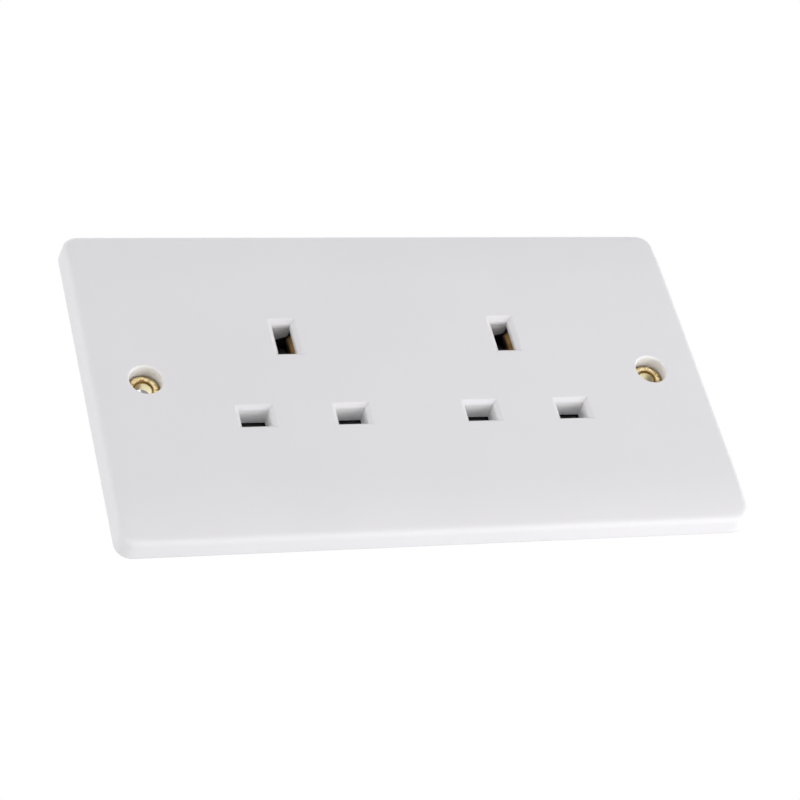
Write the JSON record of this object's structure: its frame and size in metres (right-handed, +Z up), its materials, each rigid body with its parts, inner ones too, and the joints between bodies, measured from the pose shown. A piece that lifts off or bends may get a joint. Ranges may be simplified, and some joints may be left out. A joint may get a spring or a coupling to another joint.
{
  "type": "unswitched twin wall socket outlet",
  "caption": "White twin wall socket outlet for rectangular three-pin plugs, with bevelled pin apertures, sliding shutters, brass contacts and a dark rear moulding.",
  "frame": {"origin": "midway between the two fixing holes, in the plane where the plate meets the wall", "axes": "+X to the right seen from the front, +Y into the wall, +Z up, with the front face towards -Y"},
  "size_m": [0.146, 0.027, 0.086],
  "materials": {
    "white_plate": "smooth semi gloss white moulding",
    "base_plastic": "dark satin moulding",
    "shutter_plastic": "black satin moulding",
    "eyelet_brass": "bright rolled brass",
    "contact_brass": "stamped brass sheet, slightly dull",
    "terminal_brass": "drawn and drilled brass",
    "plated_steel": "zinc plated",
    "spring_steel": "polished strip"
  },
  "bodies": {
    "housing": {"front_plate": "white_plate", "rear_base": "base_plastic", "left_fixing_eyelet": "eyelet_brass", "right_fixing_eyelet": "eyelet_brass", "left_shutter_spring": "spring_steel", "right_shutter_spring": "spring_steel", "left_earth_jaw": "contact_brass", "right_earth_jaw": "contact_brass", "left_line_jaw": "contact_brass", "left_neutral_jaw": "contact_brass", "right_line_jaw": "contact_brass", "right_neutral_jaw": "contact_brass", "line_strip": "contact_brass", "neutral_strip": "contact_brass", "earth_strip": "contact_brass", "left_earth_link": "contact_brass", "right_earth_link": "contact_brass", "centre_cover_screw": "plated_steel", "left_cover_screw": "plated_steel", "right_cover_screw": "plated_steel", "line_terminal": "terminal_brass", "neutral_terminal": "terminal_brass", "left_earth_terminal": "terminal_brass", "right_earth_terminal": "terminal_brass"},
    "left_shutter": {"left_shutter": "shutter_plastic"},
    "right_shutter": {"right_shutter": "shutter_plastic"},
    "line_screw": {"line_screw": "plated_steel"},
    "neutral_screw": {"neutral_screw": "plated_steel"},
    "left_earth_screw": {"left_earth_screw": "plated_steel"},
    "right_earth_screw": {"right_earth_screw": "plated_steel"}
  },
  "joints": [
    {"name": "left_shutter_slide", "type": "slide", "parent": "housing", "child": "left_shutter", "axis": [0, 0, -1], "range_m": [0, 0.0058], "stiffness_N_per_m": 100, "springref_m": -0.003, "deforming": ["left_shutter_spring"]},
    {"name": "right_shutter_slide", "type": "slide", "parent": "housing", "child": "right_shutter", "axis": [0, 0, -1], "range_m": [0, 0.0058], "stiffness_N_per_m": 100, "springref_m": -0.003, "deforming": ["right_shutter_spring"]},
    {"name": "line_screw_travel", "type": "slide", "parent": "housing", "child": "line_screw", "axis": [0, -1, 0], "range_m": [0, 0.0028]},
    {"name": "neutral_screw_travel", "type": "slide", "parent": "housing", "child": "neutral_screw", "axis": [0, -1, 0], "range_m": [0, 0.0028]},
    {"name": "left_earth_screw_travel", "type": "slide", "parent": "housing", "child": "left_earth_screw", "axis": [0, -1, 0], "range_m": [0, 0.0028]},
    {"name": "right_earth_screw_travel", "type": "slide", "parent": "housing", "child": "right_earth_screw", "axis": [0, -1, 0], "range_m": [0, 0.0028]}
  ]
}
